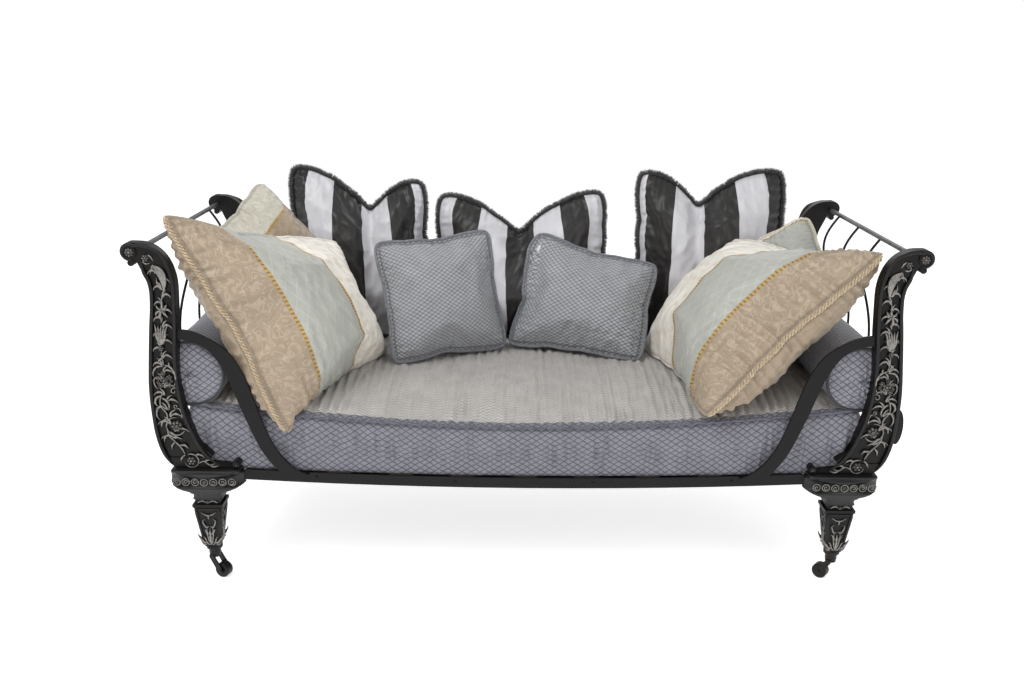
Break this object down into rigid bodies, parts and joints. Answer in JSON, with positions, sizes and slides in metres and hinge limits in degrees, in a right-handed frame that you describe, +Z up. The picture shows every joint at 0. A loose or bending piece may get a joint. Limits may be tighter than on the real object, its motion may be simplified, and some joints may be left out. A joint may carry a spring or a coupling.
{
  "type": "daybed",
  "caption": "Iron daybed with scrolled ends on swivel casters, dipped side rails, lozenge-weave mattress, end bolsters and loose square cushions.",
  "frame": {"origin": "on the floor under the middle of the bed", "axes": "+X along the bed to the right-hand end, -Y to the front, +Z up"},
  "size_m": [1.96, 0.8182, 0.9908],
  "materials": {
    "cast_iron": "black paint, worn brown on the edges",
    "bar_iron": "satin black paint",
    "cast_relief": "black casting rubbed with dull silver",
    "caster_iron": "dark aged iron",
    "wheel_iron": "dark aged iron",
    "slat_steel": "black paint",
    "mattress_cloth": "silky lozenge weave, gathered",
    "bolster_cloth": "silky lozenge weave",
    "striped_satin": "black and white striped satin",
    "damask": "champagne, sage and cream damask in bands",
    "grey_matelasse": "grey lozenge matelasse"
  },
  "bodies": {
    "frame": {"beige_cushion_back_left": "damask", "beige_cushion_back_right": "damask", "beige_cushion_front_left": "damask", "beige_cushion_front_right": "damask", "bolster_left": "bolster_cloth", "bolster_right": "bolster_cloth", "capital_back_left": "cast_iron", "capital_back_right": "cast_iron", "capital_front_left": "cast_iron", "capital_front_right": "cast_iron", "caster_socket_back_left": "caster_iron", "caster_socket_back_right": "caster_iron", "caster_socket_front_left": "caster_iron", "caster_socket_front_right": "caster_iron", "end_bar_left": "bar_iron", "end_bar_right": "bar_iron", "end_spindles_left": "bar_iron", "end_spindles_right": "bar_iron", "grey_cushion_left": "grey_matelasse", "grey_cushion_right": "grey_matelasse", "leg_back_left": "cast_iron", "leg_back_right": "cast_iron", "leg_front_left": "cast_iron", "leg_front_right": "cast_iron", "mattress": "mattress_cloth", "post_back_left": "cast_iron", "post_back_right": "cast_iron", "post_front_left": "cast_iron", "post_front_right": "cast_iron", "rail_rivets": "bar_iron", "side_rail_back": "bar_iron", "side_rail_front": "bar_iron", "slats": "slat_steel", "strap_back_left": "bar_iron", "strap_back_right": "bar_iron", "strap_front_left": "bar_iron", "strap_front_right": "bar_iron", "striped_cushion_left": "striped_satin", "striped_cushion_middle": "striped_satin", "striped_cushion_right": "striped_satin", "top_rail_left": "bar_iron", "top_rail_right": "bar_iron", "vine_back_left": "cast_relief", "vine_back_right": "cast_relief", "vine_front_left": "cast_relief", "vine_front_right": "cast_relief"},
    "caster_front_left": {"caster_fork_front_left": "caster_iron", "caster_axle_front_left": "caster_iron"},
    "wheel_front_left": {"caster_wheel_front_left": "wheel_iron"},
    "caster_back_left": {"caster_fork_back_left": "caster_iron", "caster_axle_back_left": "caster_iron"},
    "wheel_back_left": {"caster_wheel_back_left": "wheel_iron"},
    "caster_front_right": {"caster_fork_front_right": "caster_iron", "caster_axle_front_right": "caster_iron"},
    "wheel_front_right": {"caster_wheel_front_right": "wheel_iron"},
    "caster_back_right": {"caster_fork_back_right": "caster_iron", "caster_axle_back_right": "caster_iron"},
    "wheel_back_right": {"caster_wheel_back_right": "wheel_iron"}
  },
  "joints": [
    {"name": "swivel_front_left", "type": "hinge", "parent": "frame", "child": "caster_front_left", "pos_m": [-0.818, -0.365, 0.0636], "axis": [0, 0, 1], "continuous": true},
    {"name": "roll_front_left", "type": "hinge", "parent": "caster_front_left", "child": "wheel_front_left", "pos_m": [-0.79545, -0.37321, 0.02], "axis": [0.342, 0.9397, 0], "continuous": true},
    {"name": "swivel_back_left", "type": "hinge", "parent": "frame", "child": "caster_back_left", "pos_m": [-0.818, 0.365, 0.0636], "axis": [0, 0, 1], "continuous": true},
    {"name": "roll_back_left", "type": "hinge", "parent": "caster_back_left", "child": "wheel_back_left", "pos_m": [-0.79722, 0.377, 0.02], "axis": [-0.5, 0.866, 0], "continuous": true},
    {"name": "swivel_front_right", "type": "hinge", "parent": "frame", "child": "caster_front_right", "pos_m": [0.818, -0.365, 0.0636], "axis": [0, 0, 1], "continuous": true},
    {"name": "roll_front_right", "type": "hinge", "parent": "caster_front_right", "child": "wheel_front_right", "pos_m": [0.79961, -0.34957, 0.02], "axis": [-0.6428, -0.766, 0], "continuous": true},
    {"name": "swivel_back_right", "type": "hinge", "parent": "frame", "child": "caster_back_right", "pos_m": [0.818, 0.365, 0.0636], "axis": [0, 0, 1], "continuous": true},
    {"name": "roll_back_right", "type": "hinge", "parent": "caster_back_right", "child": "wheel_back_right", "pos_m": [0.79482, 0.37121, 0.02], "axis": [-0.2588, -0.9659, 0], "continuous": true}
  ]
}
